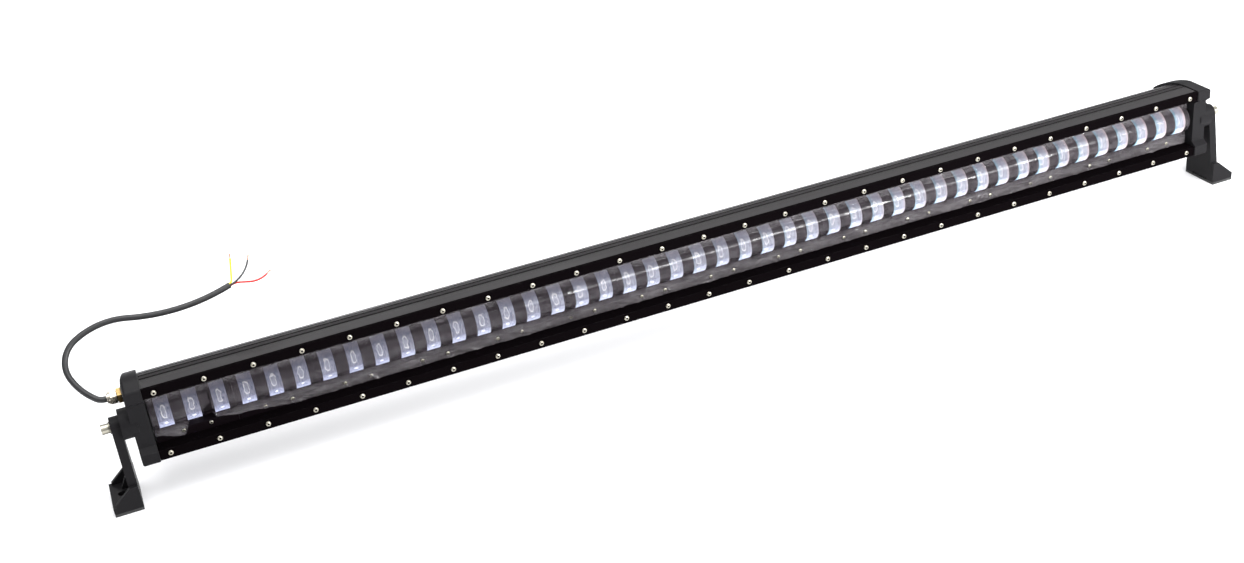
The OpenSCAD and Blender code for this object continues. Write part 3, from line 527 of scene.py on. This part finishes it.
def build_film(material, windows):
    """A thin sheet that hugs the lens with slack and creases, torn away at the lower left."""
    lens = lens_shape()
    section = film_section(lens)
    columns = int((lens["high"] - lens["low"]) / FILM_STEP)
    mesh = bmesh.new()
    grid = []
    for i in range(columns + 1):
        x = lens["low"] + i / columns * (lens["high"] - lens["low"])
        lowest = film_lower_edge((x - windows["first"]) / windows["pitch"] + 0.5)
        reach = share_down_to(section, lowest)
        column = []
        for j in range(FILM_ROWS):
            y, z = along_section(section, reach * j / (FILM_ROWS - 1))
            edge = max(0.0, 1 - (FILM_ROWS - 1 - j) / FILM_CURL_ROWS) if lowest > -FILM_TOP else 0.0
            column.append(mesh.verts.new((x, y - film_lift(x, z, edge), lens["middle"] + z)))
        grid.append(column)
    for left, right in zip(grid, grid[1:]):
        for j in range(FILM_ROWS - 1):
            mesh.faces.new((left[j], left[j + 1], right[j + 1], right[j]))
    film = make_piece("lens_film", mesh, material)
    thicken = film.modifiers.new("Thickness", "SOLIDIFY")
    thicken.thickness = FILM_T
    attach(film, "bar")


def make_piece(name, mesh, material):
    data = bpy.data.meshes.new(name)
    mesh.to_mesh(data)
    mesh.free()
    for face in data.polygons:
        face.use_smooth = True
    piece = bpy.data.objects.new(name, data)
    bpy.context.scene.collection.objects.link(piece)
    dress(piece, material)
    return piece


# ---- Copper strands at the wire ends ----

STRANDS = 7
STRAND_R = 0.2 * MM
STRAND_TURNS = 1.2
STRAND_STEPS = 8


def loose_parts(node):
    """The separate solids of a CAD node, as lists of points in an order that never changes."""
    mesh = bmesh.new()
    mesh.from_mesh(node.data)
    bmesh.ops.remove_doubles(mesh, verts=mesh.verts, dist=0.001 * MM)
    seen = set()
    parts = []
    for first in mesh.verts:
        if first in seen:
            continue
        seen.add(first)
        stack = [first]
        points = []
        while stack:
            vert = stack.pop()
            points.append(vert.co.copy())
            for edge in vert.link_edges:
                other = edge.other_vert(vert)
                if other not in seen:
                    seen.add(other)
                    stack.append(other)
        parts.append(points)
    mesh.free()
    parts.sort(key=lambda points: min(p.x for p in points))
    return parts


def rod_ends(points, insulation):
    """The centres of a straight rod's two ends, the one against the wire's insulation first."""
    far = max(points, key=lambda p: (p - points[0]).length)
    near = max(points, key=lambda p: (p - far).length)
    length = (far - near).length
    ends = []
    for tip in (near, far):
        group = [p for p in points if (p - tip).length < length / 2]
        ends.append(sum(group, Vector()) / len(group))
    return sorted(ends, key=lambda end: min((p - end).length for p in insulation))


def strand_path(start, along, side, up, index, rng):
    """One strand: a loose helix that frays at its tip."""
    phase = 2 * math.pi * index / (STRANDS - 1)
    spread = 0.0 if index == STRANDS - 1 else 2.1 * STRAND_R
    fray = rng.uniform(0.2, 1.6) * STRAND_R
    points = []
    for k in range(STRAND_STEPS + 1):
        t = k / STRAND_STEPS
        turn = phase + STRAND_TURNS * 2 * math.pi * t
        r = spread * (1 + 0.25 * t) + fray * t ** 4
        outward = side * math.cos(turn) + up * math.sin(turn)
        points.append(start + along * t * rng.uniform(0.97, 1.0) + outward * r)
    return points


def add_tube(curve, points):
    spline = curve.splines.new("POLY")
    spline.points.add(len(points) - 1)
    for target, point in zip(spline.points, points):
        target.co = (*point, 1.0)


def build_strands(frame, material):
    rng = random.Random(7)
    curve = bpy.data.curves.new("strands", "CURVE")
    curve.dimensions = "3D"
    curve.bevel_depth = STRAND_R
    curve.bevel_resolution = 2
    curve.use_fill_caps = True
    wires = (frame["nodes"][name] for name in ("wire_yellow", "wire_black", "wire_red"))
    insulation = [vert.co for wire in wires for vert in wire.data.vertices]
    for points in loose_parts(frame["nodes"]["wire_tips"]):
        start, end = rod_ends(points, insulation)
        along = end - start
        side = along.orthogonal().normalized()
        up = along.normalized().cross(side)
        for index in range(STRANDS):
            add_tube(curve, strand_path(start, along, side, up, index, rng))
    holder = bpy.data.objects.new("strands", curve)
    bpy.context.scene.collection.objects.link(holder)
    bpy.context.view_layer.update()
    data = bpy.data.meshes.new_from_object(holder.evaluated_get(bpy.context.evaluated_depsgraph_get()))
    bpy.data.objects.remove(holder)
    strands = bpy.data.objects.new("copper_strands", data)
    bpy.context.scene.collection.objects.link(strands)
    dress(strands, material)
    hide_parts("wire_tips")
    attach(strands, "bar")


# ---- Studio ----

FLOOR_HALF = 9.0
# How the world's light changes: axis, where the change starts and ends, strength there
SKY_UP = ("Z", 0.2, 0.85, 0.3, 1.15)
SKY_BEHIND = ("Y", -0.4, 0.8, 1.0, 0.5)
SKY_SEEN = 0.9            # strength of the world as the camera sees it


def build_floor():
    f = Finish("studio_floor", (0.86, 0.86, 0.87), 0.6, specular_ior_level=0.2, emission_strength=0.1)
    f.set("Emission Color", (1.0, 1.0, 1.0, 1.0))
    f.set("Base Color", f.mix(f.cloud(0.5, detail=3.0), (0.85, 0.85, 0.86), (0.88, 0.88, 0.89)))
    mesh = bmesh.new()
    bmesh.ops.create_grid(mesh, x_segments=1, y_segments=1, size=FLOOR_HALF)
    make_piece("floor", mesh, f.material)


def area_light(name, at, aim, width, height, power):
    data = bpy.data.lights.new(name, "AREA")
    data.shape = "RECTANGLE"
    data.size = width
    data.size_y = height
    data.energy = power
    light = bpy.data.objects.new(name, data)
    light.location = at
    light.rotation_euler = (Vector(aim) - Vector(at)).to_track_quat("-Z", "Y").to_euler()
    light.visible_camera = False
    bpy.context.scene.collection.objects.link(light)


def build_surround():
    """World light that is bright overhead and dims towards the horizon and behind the bar."""
    world = bpy.data.worlds.new("studio")
    world.use_nodes = True
    tree = world.node_tree
    background = tree.nodes["Background"]
    background.inputs["Color"].default_value = (0.96, 0.97, 1.0, 1.0)
    away = tree.nodes.new("ShaderNodeTexCoord").outputs["Generated"]
    axes = tree.nodes.new("ShaderNodeSeparateXYZ")
    tree.links.new(away, axes.inputs["Vector"])
    product = tree.nodes.new("ShaderNodeMath")
    product.operation = "MULTIPLY"
    for index, (axis, start, end, low, high) in enumerate((SKY_UP, SKY_BEHIND)):
        ramp = tree.nodes.new("ShaderNodeMapRange")
        for name, value in (("From Min", start), ("From Max", end), ("To Min", low), ("To Max", high)):
            ramp.inputs[name].default_value = value
        tree.links.new(axes.outputs[axis], ramp.inputs["Value"])
        tree.links.new(ramp.outputs["Result"], product.inputs[index])
    seen = tree.nodes.new("ShaderNodeMix")
    seen.inputs["B"].default_value = SKY_SEEN
    tree.links.new(tree.nodes.new("ShaderNodeLightPath").outputs["Is Camera Ray"], seen.inputs["Factor"])
    tree.links.new(product.outputs["Value"], seen.inputs["A"])
    tree.links.new(seen.outputs["Result"], background.inputs["Strength"])
    bpy.context.scene.world = world


def build_lights():
    """A soft overhead, a long panel behind that glosses the top, and two strips along the lens."""
    build_surround()
    area_light("overhead", (-0.2, -0.3, 2.6), (0, 0, 0), 3.2, 2.0, 75)
    area_light("back_panel", (0.7, 1.8, 1.4), (0.1, 0, 0.1), 3.8, 0.5, 30)
    area_light("strip", (0.75, -1.23, 0.72), (0.75, 0, 0.09), 1.2, 0.24, 36)
    area_light("side_strip", (1.6, -1.23, 0.72), (0.9, 0, 0.09), 1.6, 0.2, 10)
    bpy.context.scene.cycles.transparent_max_bounces = 24


CAMERA_AT = Vector((-0.583, -1.395, 0.8665))
CAMERA_TURN = 18.6        # degrees to the right of straight ahead
CAMERA_DOWN = 28.0        # degrees below level
CAMERA_ROLL = 7.07        # degrees clockwise
CAMERA_LENS = 45.6        # millimetres, on a sensor 36 mm wide
CAMERA_SENSOR = 36


def build_camera():
    turn, down, roll = (math.radians(a) for a in (CAMERA_TURN, CAMERA_DOWN, CAMERA_ROLL))
    ahead = Vector((math.sin(turn) * math.cos(down), math.cos(turn) * math.cos(down), -math.sin(down)))
    level = ahead.cross(Vector((0, 0, 1))).normalized()
    upright = level.cross(ahead)
    right = level * math.cos(roll) - upright * math.sin(roll)
    up = upright * math.cos(roll) + level * math.sin(roll)
    axes = Matrix((right, up, -ahead)).transposed()
    data = bpy.data.cameras.new("camera")
    data.lens = CAMERA_LENS
    data.sensor_width = CAMERA_SENSOR
    camera = bpy.data.objects.new("camera", data)
    camera.matrix_world = Matrix.Translation(CAMERA_AT) @ axes.to_4x4()
    bpy.context.scene.collection.objects.link(camera)
    bpy.context.scene.camera = camera


with open("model.json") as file:
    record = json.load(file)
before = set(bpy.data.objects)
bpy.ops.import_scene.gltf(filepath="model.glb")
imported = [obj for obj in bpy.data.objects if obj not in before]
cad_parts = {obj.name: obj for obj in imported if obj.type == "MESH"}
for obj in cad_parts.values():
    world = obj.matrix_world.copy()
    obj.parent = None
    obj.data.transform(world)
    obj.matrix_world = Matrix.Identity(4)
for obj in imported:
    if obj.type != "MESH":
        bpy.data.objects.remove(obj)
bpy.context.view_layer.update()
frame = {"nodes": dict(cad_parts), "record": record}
for imported in list(bpy.data.materials):
    bpy.data.materials.remove(imported)
windows = window_row(frame)
materials = finishes(windows)
dress_cad_nodes(frame, materials)
build_film(film_sheet(windows["middle"]).material, windows)
build_strands(frame, materials["copper"])
build_floor()
build_lights()
build_camera()
bpy.context.scene.view_settings.view_transform = "Standard"
